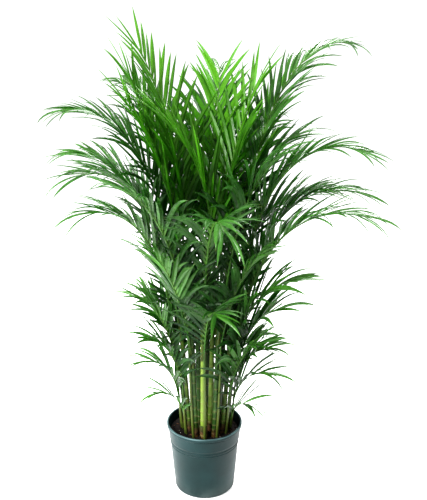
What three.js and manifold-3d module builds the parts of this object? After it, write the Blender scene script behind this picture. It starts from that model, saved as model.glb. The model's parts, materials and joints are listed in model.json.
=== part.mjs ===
// A potted areca palm: a clump of canes with feather-shaped fronds, growing in a plastic nursery pot.
// Millimetres, +Z up. The origin is the middle of the pot's foot, where the pot stands.
import * as THREE from "three";
import { mergeVertices } from "three/addons/utils/BufferGeometryUtils.js";
import Module from "manifold-3d";

const wasm = await Module();
wasm.setup();

// ---- driving sizes ----

const GAP = 0.4; // between pieces that touch or cross

// Pot
const POT_HEIGHT = 230;
const RIM_DIAMETER = 240; // over the lip
const FOOT_DIAMETER = 191;
const POT_WALL = 2;
const LIP_WIDTH = 3.5; // how far the lip stands out
const LIP_HEIGHT = 12;
const BAND_HEIGHT = 53; // the wider band at the top of the wall, with the lip
const BAND_STEP = 2.5; // how far the band stands out from the wall below it
const FOOT_ROUND = 9; // corner between the wall and the foot
const FOOT_RING_WIDTH = 14;
const CHANNEL_DEPTH = 5; // the raised ring in the foot that the drain holes open into
const CENTRE_FOOT_DIAMETER = 60;
const DRAIN_COUNT = 8;
const DRAIN_DIAMETER = 14;
const DRAIN_SIDES = 10;
const POT_SIDES = 32;

// Soil
const SOIL_BELOW_RIM = 25;
const SOIL_CROWN = 5; // how much higher it is in the middle
const SOIL_LEVEL_SHARE = 0.6; // the share of its width that is level
const ROOT_DEPTH = 40; // how far the canes reach into it

// Canes
const CANE_SPLAY = 0.07; // degrees of outward lean for each mm from the middle of the pot
const CANE_TOP_SHARE = 0.5; // a cane's radius at its top, as a share of its foot's
const CANE_SIDES = 6;
const SPEAR_LENGTH = 210; // the unopened leaf on a cane's tip
const SPEAR_RADIUS = 1.4;

// Fronds
const PETIOLE_RADIUS = 4.2; // at a frond's foot
const RIB_TIP_RADIUS = 1.1;
const RIB_STEPS = 10;
const RIB_FINE = 5; // finer steps inside each, for the curve itself
const NUDGE = 4; // degrees that a rib is turned by at a time, to clear another
const MOST_NUDGES = 21;
const LEAFLET_WIDTH = 18;
const LEAFLET_KEEL = 1.6; // how deep its folded keel is, which is also how thick it is
const LEAFLET_ROOT = 0.45; // its size where it leaves the rib, as a share of its middle
const LEAFLET_SAG = 26; // degrees that a leaflet bends down along its length
const LEAFLET_BEND = 0.45; // where along its length it bends
const LEAFLET_INSET = 0.5; // how far inside the rib it starts, as a share of the rib's radius
const LAST_LEAFLETS = 0.98; // where along the rib the last pair is
const SHORTEST_SHARE = 0.6; // the length of the last leaflets, as a share of the longest
const FULL_LENGTH_EARLY = 0.15; // how far before the middle of the row the longest leaflets are
const FEWEST_PAIRS = 3;

// The canes: where each stands in the soil, its height, and its radius at the foot.
const CANES = [
  { x: -46, y: -26, height: 440, radius: 8.5 },
  { x: -26, y: -50, height: 470, radius: 9 },
  { x: -2, y: -58, height: 500, radius: 10.5 },
  { x: 30, y: -50, height: 480, radius: 9 },
  { x: 57, y: -26, height: 450, radius: 8.5 },
  { x: 72, y: 8, height: 360, radius: 7.5 },
  { x: -60, y: 6, height: 390, radius: 7.5 },
  { x: -34, y: 10, height: 520, radius: 9 },
  { x: -14, y: -18, height: 540, radius: 10 },
  { x: 18, y: -14, height: 560, radius: 10 },
  { x: 42, y: 18, height: 500, radius: 9 },
  { x: 4, y: 22, height: 530, radius: 9.5 },
  { x: -28, y: 46, height: 470, radius: 9 },
  { x: 8, y: 58, height: 480, radius: 9 },
  { x: 42, y: 52, height: 440, radius: 8 },
  { x: -52, y: 38, height: 380, radius: 8 },
];

// The three ages of frond. parting is the degrees that a rib leaves its cane at, bare is the share
// of it that carries no leaflets, and pitch is about how far apart the pairs of leaflets are. spread
// and rise are a leaflet's angles in degrees from the rib's line and above its two sides, for the
// first pair and for the last.
const KINDS = {
  crown: { parting: 3, bare: 0.28, pitch: 94, spread: [46, 20], rise: [30, 10], colour: 0x2f8f1e },
  arching: { parting: 5, bare: 0.24, pitch: 104, spread: [38, 16], rise: [30, 8], colour: 0x1f6b2a },
  low: { parting: 9, bare: 0.16, pitch: 66, spread: [48, 18], rise: [28, 6], colour: 0x2a7a2c },
};

// The fronds, one row each: kind, cane, height on the cane, heading (0 is +X, 90 is +Y), lean of
// the tip from upright in degrees, curl, length along the rib, and length of the longest leaflet.
// With a curl of 1 the rib bends evenly, and above that it bends more towards its tip.
const FRONDS = [
  // the young crown
  ["crown", 9, 450, 152, 30, 1.7, 755, 250],
  ["crown", 10, 450, 24, 26, 2, 650, 260],
  ["crown", 8, 440, 166, 25, 1.5, 690, 240],
  ["crown", 4, 420, 168, 54, 2.3, 650, 250],
  ["crown", 11, 430, 34, 40, 2, 640, 240],
  ["crown", 12, 450, 64, 13, 1.6, 650, 250],
  ["crown", 2, 410, 166, 36, 1.9, 660, 240],
  // the long arching fronds, from the left by way of the front to the right
  ["arching", 1, 400, 160, 112, 3.2, 780, 220],
  ["arching", 7, 370, 206, 106, 3.2, 620, 230],
  ["arching", 7, 270, 222, 88, 2.5, 620, 240],
  ["arching", 2, 330, 226, 62, 2.2, 600, 240],
  ["arching", 3, 360, 282, 118, 3, 560, 210],
  ["arching", 4, 400, 318, 46, 2.4, 560, 240],
  ["arching", 6, 260, 322, 98, 1.8, 740, 220],
  ["arching", 6, 320, 345, 106, 2.6, 650, 220],
  ["arching", 5, 350, 336, 110, 3.2, 770, 210],
  ["arching", 5, 410, 36, 110, 3.2, 990, 200],
  ["arching", 11, 400, 14, 66, 3, 600, 230],
  // the same at the back
  ["arching", 15, 370, 66, 96, 2.2, 760, 230],
  ["arching", 14, 410, 84, 70, 2.2, 800, 240],
  ["arching", 14, 320, 100, 114, 2, 640, 220],
  ["arching", 13, 400, 124, 88, 2.4, 820, 230],
  ["arching", 16, 330, 152, 104, 2.2, 720, 230],
  ["arching", 15, 300, 20, 108, 2.2, 620, 220],
  // the low fronds of the small side shoots
  ["low", 7, 230, 205, 52, 2, 250, 190],
  ["low", 1, 160, 212, 60, 2, 220, 180],
  ["low", 7, 110, 196, 76, 2, 170, 160],
  ["low", 1, 60, 200, 88, 1.5, 140, 130],
  ["low", 2, 330, 224, 36, 1.8, 330, 200],
  ["low", 3, 300, 286, 100, 2.4, 250, 190],
  ["low", 4, 320, 322, 40, 1.8, 340, 200],
  ["low", 5, 240, 356, 82, 2.4, 350, 230],
  ["low", 6, 200, 335, 64, 2, 270, 220],
  ["low", 5, 130, 322, 56, 2.2, 230, 190],
  ["low", 6, 130, 342, 72, 2, 200, 180],
  ["low", 6, 80, 330, 88, 1.6, 200, 170],
  ["low", 6, 30, 318, 100, 1.4, 130, 140],
  ["low", 15, 220, 50, 56, 2, 330, 200],
  ["low", 16, 170, 140, 74, 2, 300, 180],
  ["low", 14, 170, 96, 50, 2, 300, 190],
  ["low", 13, 210, 116, 62, 2, 350, 190],
  ["low", 15, 100, 30, 84, 1.8, 220, 160],
];

// ---- shapes ----

const rad = THREE.MathUtils.degToRad;
const mix = THREE.MathUtils.lerp;
const UP = new THREE.Vector3(0, 0, 1);
const steps = (n) => Array.from({ length: n }, (_, i) => i);

// A geometry as a solid that can be joined and cut. Corners in one place become one.
function solid(geometry) {
  const bare = geometry.clone();
  bare.deleteAttribute("normal");
  bare.deleteAttribute("uv");
  const merged = mergeVertices(bare, 1e-4);
  const triangles = [];
  for (let i = 0; i < merged.index.count; i += 3) {
    const [a, b, c] = [0, 1, 2].map((k) => merged.index.getX(i + k));
    if (a !== b && b !== c && c !== a) triangles.push(a, b, c);
  }
  return new wasm.Manifold(
    new wasm.Mesh({
      numProp: 3,
      vertProperties: new Float32Array(merged.attributes.position.array),
      triVerts: new Uint32Array(triangles),
    }),
  );
}

// A solid as a geometry again.
function geometryOf(made) {
  const mesh = made.getMesh();
  return new THREE.BufferGeometry()
    .setAttribute("position", new THREE.BufferAttribute(new Float32Array(mesh.vertProperties), 3))
    .setIndex(new THREE.BufferAttribute(new Uint32Array(mesh.triVerts), 1));
}

// A cylinder bent to follow stations, from its foot to its tip. Each station has a centre, the
// directions forward and across, and the half width and half height of the section there.
function along(stations, sides) {
  const geometry = new THREE.CylinderGeometry(1, 1, 1, sides, stations.length - 1);
  const place = geometry.attributes.position;
  const corner = new THREE.Vector3();
  for (const i of steps(place.count)) {
    const { centre, forward, across, width, height } =
      stations[Math.round((place.getY(i) + 0.5) * (stations.length - 1))];
    const third = across.clone().cross(forward);
    corner.copy(centre);
    corner.addScaledVector(across, width * place.getX(i));
    corner.addScaledVector(third, height * place.getZ(i));
    place.setXYZ(i, ...corner.toArray());
  }
  return geometry;
}

// ---- pot ----

const rimRadius = RIM_DIAMETER / 2;
const footRadius = FOOT_DIAMETER / 2;
const bandRadius = rimRadius - LIP_WIDTH;
const stepZ = POT_HEIGHT - BAND_HEIGHT;
// The wall slants straight from the foot to the lip, and the band stands out from that slant.
const wallRadius = (z) => mix(footRadius, bandRadius - BAND_STEP, z / POT_HEIGHT);

function pot() {
  const ringInside = footRadius - FOOT_ROUND - FOOT_RING_WIDTH;
  const centreFoot = CENTRE_FOOT_DIAMETER / 2;
  const outside = new THREE.Path();
  outside.moveTo(0, 0);
  outside.lineTo(centreFoot, 0);
  outside.lineTo(centreFoot + CHANNEL_DEPTH, CHANNEL_DEPTH);
  outside.lineTo(ringInside - CHANNEL_DEPTH, CHANNEL_DEPTH);
  outside.lineTo(ringInside, 0);
  outside.lineTo(footRadius - FOOT_ROUND, 0);
  outside.quadraticCurveTo(footRadius, 0, wallRadius(FOOT_ROUND), FOOT_ROUND);
  outside.lineTo(wallRadius(stepZ), stepZ);
  outside.lineTo(wallRadius(stepZ) + BAND_STEP, stepZ + BAND_STEP);
  outside.lineTo(bandRadius, POT_HEIGHT - LIP_HEIGHT);
  outside.lineTo(rimRadius, POT_HEIGHT - LIP_HEIGHT);
  outside.lineTo(rimRadius, POT_HEIGHT);
  const inside = [
    [bandRadius - POT_WALL, POT_HEIGHT],
    [wallRadius(stepZ) + BAND_STEP - POT_WALL, stepZ + BAND_STEP],
    [wallRadius(stepZ) - POT_WALL, stepZ],
    [wallRadius(FOOT_ROUND) - POT_WALL, FOOT_ROUND],
    [footRadius - FOOT_ROUND, POT_WALL],
    [ringInside, POT_WALL],
    [ringInside - CHANNEL_DEPTH, CHANNEL_DEPTH + POT_WALL],
    [centreFoot + CHANNEL_DEPTH, CHANNEL_DEPTH + POT_WALL],
    [centreFoot, POT_WALL],
    [0, POT_WALL],
  ].map(([r, z]) => new THREE.Vector2(r, z));
  const lathe = new THREE.LatheGeometry([...outside.getPoints(4), ...inside], POT_SIDES);
  let made = solid(lathe.rotateX(Math.PI / 2));
  const drainRing = (centreFoot + ringInside) / 2;
  for (const i of steps(DRAIN_COUNT)) {
    const turn = (i * 2 * Math.PI) / DRAIN_COUNT;
    const drainRadius = DRAIN_DIAMETER / 2;
    const drainDepth = 4 * (CHANNEL_DEPTH + POT_WALL);
    const hole = new THREE.CylinderGeometry(drainRadius, drainRadius, drainDepth, DRAIN_SIDES);
    hole.rotateX(Math.PI / 2);
    hole.translate(drainRing * Math.cos(turn), drainRing * Math.sin(turn), 0);
    made = made.subtract(solid(hole));
  }
  return made;
}

// ---- canes ----

const soilTop = POT_HEIGHT - SOIL_BELOW_RIM;

// The axis of a cane: its foot at the soil's level and its direction, leaning out from the middle.
function caneAxis({ x, y }) {
  const away = new THREE.Vector3(x, y, 0);
  const lean = rad(CANE_SPLAY * away.length());
  const direction = away.normalize().multiplyScalar(Math.sin(lean)).addScaledVector(UP, Math.cos(lean));
  return { foot: new THREE.Vector3(x, y, soilTop), direction };
}

const caneAt = (cane, height) => {
  const { foot, direction } = caneAxis(cane);
  return foot.addScaledVector(direction, height);
};

const caneRadius = (cane, height) => mix(cane.radius, cane.radius * CANE_TOP_SHARE, height / cane.height);

function caneLine(cane) {
  const { direction } = caneAxis(cane);
  const heights = [-ROOT_DEPTH, 0, cane.height * 0.5, cane.height, cane.height + SPEAR_LENGTH];
  return heights.map((height, i) => {
    const radius = i === heights.length - 1 ? SPEAR_RADIUS : caneRadius(cane, Math.max(height, 0));
    return { centre: caneAt(cane, height), radius, direction };
  });
}

function caneSolid(cane, grow = 0) {
  const stations = caneLine(cane).map(({ centre, radius, direction }) => {
    const across = new THREE.Vector3(0, 1, 0).cross(direction).normalize();
    return { centre, forward: direction, across, width: radius + grow, height: radius + grow };
  });
  return solid(along(stations, CANE_SIDES));
}

// ---- soil ----

function soil() {
  const floor = CHANNEL_DEPTH + POT_WALL + GAP;
  const reach = (z) => wallRadius(z) - POT_WALL - GAP;
  const reachTop = reach(stepZ);
  const profile = [
    [0, floor],
    [reach(FOOT_ROUND) - FOOT_ROUND, floor],
    [reach(2 * FOOT_ROUND), 2 * FOOT_ROUND],
    [reachTop, stepZ],
    [reachTop, soilTop - SOIL_CROWN],
    [reachTop * SOIL_LEVEL_SHARE, soilTop],
    [0, soilTop],
  ].map(([r, z]) => new THREE.Vector2(r, z));
  let made = solid(new THREE.LatheGeometry(profile, POT_SIDES).rotateX(Math.PI / 2));
  for (const cane of CANES) made = made.subtract(caneSolid(cane, GAP));
  return made;
}

// ---- fronds ----

// The stations of a frond's rib: centres with the directions forward, across and above at each.
// It leaves its cane on one side and bends over towards its heading, more and more to the tip.
function ribStations([kind, caneNumber, at, heading, leanTip, curl, length], nudge = 0) {
  const cane = CANES[caneNumber - 1];
  const turn = rad(heading + nudge);
  const out = new THREE.Vector3(Math.cos(turn), Math.sin(turn), 0);
  const across = new THREE.Vector3(-Math.sin(turn), Math.cos(turn), 0);
  const leanFoot = THREE.MathUtils.radToDeg(caneAxis(cane).direction.dot(out)) + KINDS[kind].parting;
  const centre = caneAt(cane, at).addScaledVector(out, caneRadius(cane, at) + PETIOLE_RADIUS + 2 * GAP);
  const count = RIB_STEPS * RIB_FINE;
  const stations = [];
  for (const i of steps(count + 1)) {
    const lean = rad(mix(leanFoot, leanTip, (i / count) ** curl));
    const forward = out.clone().multiplyScalar(Math.sin(lean)).addScaledVector(UP, Math.cos(lean));
    const above = forward.clone().cross(across);
    if (i % RIB_FINE === 0) stations.push({ centre: centre.clone(), forward, across, above });
    centre.addScaledVector(forward, length / count);
  }
  return stations;
}

// The place on a rib at a share of its length.
function onRib(stations, share) {
  const i = Math.min(Math.floor(share * RIB_STEPS), RIB_STEPS - 1);
  const [a, b] = [stations[i], stations[i + 1]];
  const part = share * RIB_STEPS - i;
  return {
    centre: a.centre.clone().lerp(b.centre, part),
    forward: a.forward.clone().lerp(b.forward, part).normalize(),
    across: a.across,
    above: a.above.clone().lerp(b.above, part).normalize(),
    radius: ribRadius(share),
  };
}

const ribRadius = (share) => mix(PETIOLE_RADIUS, RIB_TIP_RADIUS, share);

// A rib is flat above and keeled below.
function ribSolid(stations, grow = 0) {
  const sections = stations.map(({ centre, forward, across }, i) => {
    const radius = ribRadius(i / RIB_STEPS) + 2 * grow;
    return { centre, forward, across: across.clone().negate(), width: radius, height: radius };
  });
  return solid(along(sections, 3));
}

// A leaflet: a blade folded along its middle, which leaves the rib on one side and sags.
function leafletSolid({ centre, forward, across, above, radius }, side, length, spread, rise, grow = 0) {
  const [a, b] = [rad(spread), rad(rise)];
  const away = across.clone().multiplyScalar(side * Math.cos(b)).addScaledVector(above, Math.sin(b));
  const first = forward.clone().multiplyScalar(Math.cos(a)).addScaledVector(away, Math.sin(a));
  const edge = forward.clone().addScaledVector(first, -forward.dot(first)).normalize();
  edge.multiplyScalar(-side); // this way round, the keel is below
  // It bends about the level line through it, and never past straight down.
  const hinge = first.clone().cross(UP).normalize();
  const fall = Math.min(rad(LEAFLET_SAG), first.angleTo(UP.clone().negate()));
  const second = first.clone().applyAxisAngle(hinge, -fall);
  const root = centre.clone().addScaledVector(across, side * radius * LEAFLET_INSET);
  const middle = root.clone().addScaledVector(first, length * LEAFLET_BEND);
  const tip = middle.clone().addScaledVector(second, length * (1 - LEAFLET_BEND) + grow);
  const more = (2 * grow) / LEAFLET_KEEL;
  const stations = [
    [root, first, LEAFLET_ROOT],
    [middle, first, 1],
    [tip, second, 0],
  ].map(([at, direction, size]) => ({
    centre: at,
    forward: direction,
    across: edge,
    width: ((size + more) * LEAFLET_WIDTH) / Math.sqrt(3),
    height: (size + more) * LEAFLET_KEEL,
  }));
  return solid(along(stations, 3));
}

// Where a frond's leaflets leave its rib, and each one's side, length and angles.
function leafletPlan(frond, stations) {
  const [length, longest] = frond.slice(-2);
  const { bare, pitch, spread, rise } = KINDS[frond[0]];
  const pairs = Math.max(FEWEST_PAIRS, Math.round((length * (1 - bare)) / pitch));
  return steps(pairs).flatMap((i) => {
    const share = (i + 1) / pairs;
    const place = onRib(stations, mix(bare, LAST_LEAFLETS, share));
    const swell = Math.sin(Math.PI * Math.min(1, share + FULL_LENGTH_EARLY));
    const reach = longest * mix(SHORTEST_SHARE, 1, swell);
    return [-1, 1].map((side) => [place, side, reach, mix(...spread, share), mix(...rise, share)]);
  });
}

const obstacle = (made) => ({ solid: made, box: made.boundingBox() });
const boxesMeet = (a, b) => [0, 1, 2].every((k) => a.min[k] <= b.max[k] && b.min[k] <= a.max[k]);

const isClear = ({ solid: made, box }, others) =>
  others.every((other) => !boxesMeet(box, other.box) || made.intersect(other.solid).isEmpty());

// What is left of a leaflet once the pieces that it would run through are cut away.
function trimmed(leaflet, others) {
  const box = leaflet.boundingBox();
  return others
    .filter((other) => boxesMeet(box, other.box))
    .reduce((left, other) => left.subtract(other.solid), leaflet);
}

const largest = (bodies) => bodies.reduce((a, b) => (b.volume() > a.volume() ? b : a));

// The stations of every rib. A rib that would run into a cane, or into a rib before it, is turned
// about its foot until it is clear.
function allRibs(canes) {
  const taken = [...canes];
  return FRONDS.map((frond) => {
    const tries = steps(MOST_NUDGES).map((i) => {
      const stations = ribStations(frond, Math.ceil(i / 2) * NUDGE * (i % 2 ? 1 : -1));
      return { stations, rib: obstacle(ribSolid(stations, GAP)) };
    });
    const { stations, rib } = tries.find(({ rib }) => isClear(rib, taken)) ?? tries[0];
    taken.push(rib);
    return stations;
  });
}

// Each frond is its rib and the leaflets it carries, kept clear of the canes, of the other ribs
// and of the leaflets of the fronds before it. The ends that a cut leaves loose fall away.
function frondSolids() {
  const layout = allRibs(CANES.map((cane) => obstacle(caneSolid(cane))));
  const canes = CANES.map((cane) => obstacle(caneSolid(cane, GAP)));
  const ribs = layout.map((stations) => obstacle(ribSolid(stations, GAP)));
  const blades = [];
  return FRONDS.map((frond, i) => {
    const others = [...canes, ...ribs.filter((_, k) => k !== i), ...blades];
    let made = ribSolid(layout[i]);
    for (const leaflet of leafletPlan(frond, layout[i])) {
      made = made.add(trimmed(leafletSolid(...leaflet), others));
      blades.push(obstacle(leafletSolid(...leaflet, GAP)));
    }
    return largest(made.decompose());
  });
}

// ---- the whole plant ----

const paint = (color, roughness) => new THREE.MeshStandardMaterial({ color, roughness, metalness: 0 });
const MATERIALS = {
  pot: paint(0x43585a, 0.45),
  soil: paint(0x2a1f18, 0.95),
  cane: paint(0x93a04a, 0.5),
  crown: paint(KINDS.crown.colour, 0.45),
  arching: paint(KINDS.arching.colour, 0.45),
  low: paint(KINDS.low.colour, 0.45),
};

const palm = new THREE.Group();

function piece(name, made, material) {
  const mesh = new THREE.Mesh(geometryOf(made), material);
  mesh.name = name;
  palm.add(mesh);
}

const numbered = (name, i) => `${name}_${String(i + 1).padStart(2, "0")}`;

piece("nursery_pot", pot(), MATERIALS.pot);
piece("potting_soil", soil(), MATERIALS.soil);
CANES.forEach((cane, i) => piece(numbered("cane", i), caneSolid(cane), MATERIALS.cane));
frondSolids().forEach((made, i) => piece(numbered("frond", i), made, MATERIALS[FRONDS[i][0]]));

export default palm;
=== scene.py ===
# %% [markdown]
# # A potted areca palm
# A nursery pot of dark slate plastic holds a clump of canes. Feather-shaped fronds of three ages
# grow from them: an upright young crown, long arching fronds, and the low fronds of side shoots.
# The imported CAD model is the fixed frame. This script makes what shows, at the CAD's sizes and
# places, and hides the plain CAD pieces. Four pieces of loose litter have no CAD piece.

# %% Load the frame
import json
import math
import random

import bpy
import numpy as np
from mathutils import Matrix, Vector, noise

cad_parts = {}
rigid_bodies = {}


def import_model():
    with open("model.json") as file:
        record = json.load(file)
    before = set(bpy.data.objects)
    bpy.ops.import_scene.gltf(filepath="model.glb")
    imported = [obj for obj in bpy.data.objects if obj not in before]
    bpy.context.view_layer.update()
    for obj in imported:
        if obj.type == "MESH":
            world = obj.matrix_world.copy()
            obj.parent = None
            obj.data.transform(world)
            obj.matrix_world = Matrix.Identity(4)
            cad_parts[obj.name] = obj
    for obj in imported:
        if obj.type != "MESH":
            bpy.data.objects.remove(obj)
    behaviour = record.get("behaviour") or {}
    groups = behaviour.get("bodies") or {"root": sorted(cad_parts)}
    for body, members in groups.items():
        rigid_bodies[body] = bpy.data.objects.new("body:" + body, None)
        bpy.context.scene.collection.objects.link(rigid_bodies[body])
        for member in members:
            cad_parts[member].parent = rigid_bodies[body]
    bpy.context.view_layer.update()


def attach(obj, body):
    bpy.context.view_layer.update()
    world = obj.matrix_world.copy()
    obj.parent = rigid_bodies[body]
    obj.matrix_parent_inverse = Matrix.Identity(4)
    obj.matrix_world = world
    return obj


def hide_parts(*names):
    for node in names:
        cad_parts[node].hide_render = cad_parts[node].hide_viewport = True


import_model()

# %% [markdown]
# Sizes are written in millimetres, as on a drawing, and MM turns them into Blender's metres. All
# chance comes from one seeded generator, so the plant grows the same way each time.

# %% Units and chance
MM = 0.001
chance = random.Random(7)
UP = np.array([0.0, 0.0, 1.0])


def mix(low, high, share):
    return low + (high - low) * share


# %% [markdown]
# ## Shader sums as plain sums
# A finish is a network of nodes. Written out by hand it is long and hard to follow, so one small
# class wraps an output socket, and a sum with it makes the Math node. Another class holds a
# material. Its method called node makes any node, and the others are short names for a few.


# %% A socket that does sums
class Field:
    """A number that varies over a surface. A sum with it adds a Math node."""

    def __init__(self, finish, socket):
        self.finish = finish
        self.socket = socket

    def sum(self, operation, first, second):
        sockets = {0: first, 1: second}
        return self.finish.node("ShaderNodeMath", {"operation": operation}, sockets)

    def __add__(self, other):
        return self.sum("ADD", self, other)

    def __sub__(self, other):
        return self.sum("SUBTRACT", self, other)

    def __mul__(self, other):
        return self.sum("MULTIPLY", self, other)


# %% A finish
class Finish:
    """A material, built node by node around one Principled shader."""

    def __init__(self, name, settings):
        self.material = bpy.data.materials.new(name)
        self.material.use_nodes = True
        self.tree = self.material.node_tree
        self.tree.nodes.clear()
        self.surface = self.tree.nodes.new("ShaderNodeBsdfPrincipled")
        self.output = self.tree.nodes.new("ShaderNodeOutputMaterial")
        self.tree.links.new(self.surface.outputs[0], self.output.inputs["Surface"])
        for socket, value in settings.items():
            self.surface.inputs[socket].default_value = value

    def feed(self, node, sockets):
        for name, value in sockets.items():
            if isinstance(value, Field):
                self.tree.links.new(value.socket, node.inputs[name])
            else:
                node.inputs[name].default_value = value

    def node(self, kind, settings=None, sockets=None, out=0):
        """Makes a node, sets it, feeds its sockets, and gives one of its outputs."""
        made = self.tree.nodes.new(kind)
        for name, value in (settings or {}).items():
            setattr(made, name, value)
        self.feed(made, sockets or {})
        return Field(self, made.outputs[out])

    def place(self, output="Object"):
        return self.node("ShaderNodeTexCoord", out=output)

    def attribute(self, name):
        return self.node("ShaderNodeAttribute", {"attribute_name": name}, out="Fac")

    def part(self, vector, axis):
        return self.node("ShaderNodeSeparateXYZ", sockets={0: vector}, out=axis)

    def noise(self, vector, scale, detail=2.0, roughness=0.5, stretch=None):
        if stretch:
            vector = self.node("ShaderNodeMapping", sockets={"Vector": vector, "Scale": stretch})
        sockets = {"Vector": vector, "Scale": scale, "Detail": detail, "Roughness": roughness}
        return self.node("ShaderNodeTexNoise", sockets=sockets)

    def ramp(self, value, low, high, to_low=0.0, to_high=1.0):
        """Rises smoothly from to_low to to_high as value goes from low to high."""
        sockets = {0: value, 1: low, 2: high, 3: to_low, 4: to_high}
        return self.node("ShaderNodeMapRange", {"interpolation_type": "SMOOTHSTEP"}, sockets)

    def blend(self, share, first, second):
        """One colour turning into another."""
        sockets = {0: share, 6: first, 7: second}
        return self.node("ShaderNodeMix", {"data_type": "RGBA"}, sockets, out=2)

    def relief(self, height, distance, strength):
        sockets = {"Height": height, "Distance": distance, "Strength": strength}
        self.feed(self.surface, {"Normal": self.node("ShaderNodeBump", sockets=sockets)})

    def colour(self, value):
        self.feed(self.surface, {"Base Color": value})

    def roughness(self, value):
        self.feed(self.surface, {"Roughness": value})

    def glow_through(self, share, colour):
        """Lets some light through, as a thin leaf does."""
        thin = self.node("ShaderNodeBsdfTranslucent", sockets={"Color": colour})
        sockets = {0: share, 1: Field(self, self.surface.outputs[0]), 2: thin}
        both = self.node("ShaderNodeMixShader", sockets=sockets)
        self.tree.links.new(both.socket, self.output.inputs["Surface"])


# %% [markdown]
# ## Camera, floor and light
# The camera stands 2.3 m in front of the plant at eye height and looks down on it. A wide pale
# floor that glows a little and white light from all sides make a plain white studio. A soft light
# low on the left gives the pot its bright side.

# %% Camera
CAMERA_PLACE = (0.029, -2.301, 1.589)
CAMERA_TILT = 18.82  # degrees down from level
CAMERA_LENS = 58.9  # mm

bpy.ops.object.select_all(action="DESELECT")
bpy.ops.object.camera_add(location=CAMERA_PLACE, rotation=(math.radians(90 - CAMERA_TILT), 0, 0))
camera = bpy.context.active_object
camera.data.lens = CAMERA_LENS
bpy.context.scene.camera = camera

# %% Floor and room
FLOOR_SIZE = 400  # metres
FLOOR_GLOW = 0.44
ROOM_LIGHT = 0.62

bpy.ops.object.select_all(action="DESELECT")
bpy.ops.mesh.primitive_plane_add(size=FLOOR_SIZE)
floor = bpy.context.active_object
floor.name = "floor"
paper = Finish("white_paper", {
    "Base Color": (0.9, 0.9, 0.9, 1),
    "Emission Color": (1, 1, 1, 1),
    "Emission Strength": FLOOR_GLOW,
})
paper_grain = paper.noise(paper.place(), 40)
paper.roughness(paper.ramp(paper_grain, 0.3, 0.7, 0.85, 0.95))
floor.data.materials.append(paper.material)

room = bpy.context.scene.world or bpy.data.worlds.new("room")
bpy.context.scene.world = room
room.use_nodes = True
background = room.node_tree.nodes["Background"]
background.inputs["Color"].default_value = (1, 1, 1, 1)
background.inputs["Strength"].default_value = ROOM_LIGHT
bpy.context.scene.view_settings.view_transform = "Standard"
bpy.context.scene.view_settings.look = "Medium High Contrast"


# %% Soft lights
def soft_light(name, place, target, size, watts):
    towards = Vector(target) - Vector(place)
    bpy.ops.object.light_add(
        type="AREA", location=place, rotation=towards.to_track_quat("-Z", "Y").to_euler()
    )
    lamp = bpy.context.active_object
    lamp.name = name
    lamp.data.shape = "DISK"
    lamp.data.size = size
    lamp.data.energy = watts


soft_light("key", (-2.0, -2.2, 2.9), (0, 0, 0.8), 0.7, 200)
soft_light("left strip", (-1.5, -0.7, 0.7), (0, 0, 0.3), 0.5, 38)
soft_light("fill", (2.4, -1.8, 1.9), (0, 0, 0.6), 1.0, 15)
soft_light("back", (0.5, 1.9, 3.1), (0, 0, 1.0), 1.0, 120)


# %% [markdown]
# ## Working by hand, in code
# A piece starts as a ring of edges. Each pull extrudes the ring and resizes it, which is how a pot
# is drawn up by hand in edit mode. The last pull closes the ring or draws it to a point.


# %% Rings
def select_only(piece):
    bpy.ops.object.select_all(action="DESELECT")
    piece.select_set(True)
    bpy.context.view_layer.objects.active = piece


def start_ring(name, sides, radius, height=0.0, closed=True):
    """A flat disc or an open ring, left in edit mode with its edge selected."""
    bpy.ops.object.select_all(action="DESELECT")
    bpy.ops.mesh.primitive_circle_add(
        vertices=sides, radius=radius, fill_type="NGON" if closed else "NOTHING",
        location=(0, 0, height),
    )
    piece = bpy.context.active_object
    piece.name = piece.data.name = name
    bpy.ops.object.transform_apply(location=True, rotation=True, scale=True)
    bpy.ops.object.mode_set(mode="EDIT")
    bpy.ops.mesh.select_all(action="SELECT")
    return piece


def pull(rise, spread):
    """Extrudes the selected ring upwards and resizes it about the upright axis."""
    bpy.ops.mesh.extrude_region_move(TRANSFORM_OT_translate={"value": (0, 0, rise)})
    if spread != 1:
        bpy.ops.transform.resize(value=(spread, spread, 1), center_override=(0, 0, 0))


def pull_along(profile):
    """Pulls a ring through (radius, height) pairs, the first of which it already has."""
    for (radius, height), (next_radius, next_height) in zip(profile, profile[1:]):
        pull((next_height - height) * MM, next_radius / radius)


def finish_edit(smooth_angle=30):
    bpy.ops.mesh.select_all(action="SELECT")
    bpy.ops.mesh.normals_make_consistent(inside=False)
    bpy.ops.object.mode_set(mode="OBJECT")
    bpy.ops.object.shade_smooth_by_angle(angle=math.radians(smooth_angle))


def arc(centre, radius, start, end, count):
    """(radius, height) pairs round a small corner, from one angle in degrees to another."""
    pairs = []
    for i in range(count + 1):
        turn = math.radians(mix(start, end, i / count))
        pairs.append((centre[0] + radius * math.cos(turn), centre[1] + radius * math.sin(turn)))
    return pairs


def dress(piece, finishes, slot, *nodes):
    """Finishes a piece, puts it on the root body and hides the CAD pieces it stands for."""
    piece.data.materials.clear()
    for finish in finishes:
        piece.data.materials.append(finish.material)
    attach(piece, "root")
    if nodes:
        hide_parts(*nodes)


# %% [markdown]
# ## The pot
# A grower's pot is blown or moulded in one piece of thin polypropylene. It tapers to the foot so
# that pots stack. A wider band below the rim stiffens it, two fine ridges mark the band's lower
# edge, and the lip is rolled over. It could be a lathed curve, but a ring pulled up by hand gives
# the same skin and shows how the wall, band and lip follow on from each other.

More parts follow.
